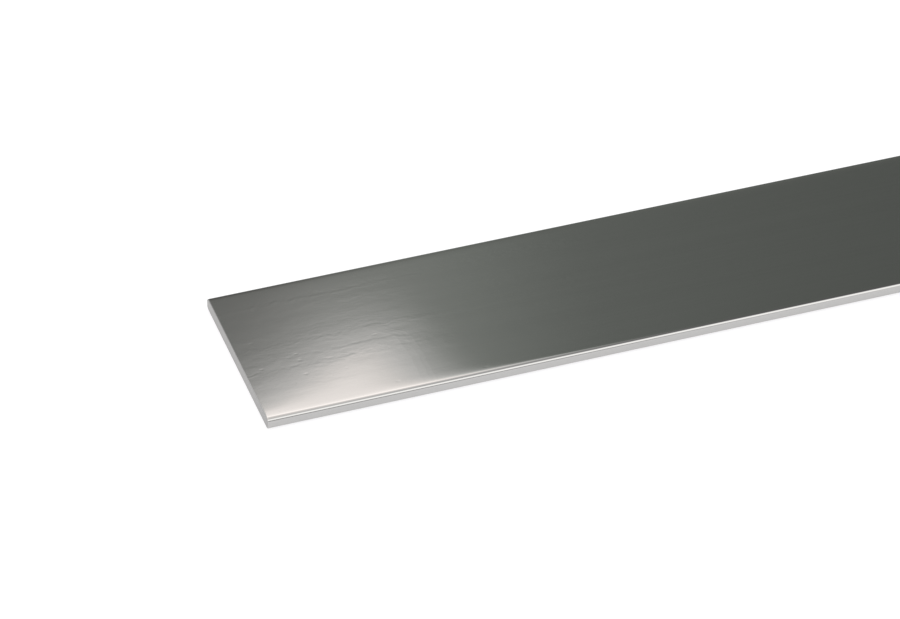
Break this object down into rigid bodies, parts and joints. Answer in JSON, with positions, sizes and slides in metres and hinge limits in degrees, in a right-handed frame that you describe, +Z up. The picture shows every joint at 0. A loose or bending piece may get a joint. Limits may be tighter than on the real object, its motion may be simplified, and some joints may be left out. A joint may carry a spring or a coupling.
{
  "type": "metal flat bar",
  "caption": "Straight polished steel flat bar with softly rounded long edges, square sawn ends and no holes.",
  "frame": {"origin": "middle of the underside, half way along and half way across the bar", "axes": "+X along the bar, +Y across its width, +Z up through its thickness"},
  "size_m": [1, 0.03, 0.002],
  "materials": {
    "bright_steel": "bright drawn and polished, with faint draw lines along its length"
  },
  "bodies": {
    "root": {"flat_bar": "bright_steel"}
  },
  "joints": []
}
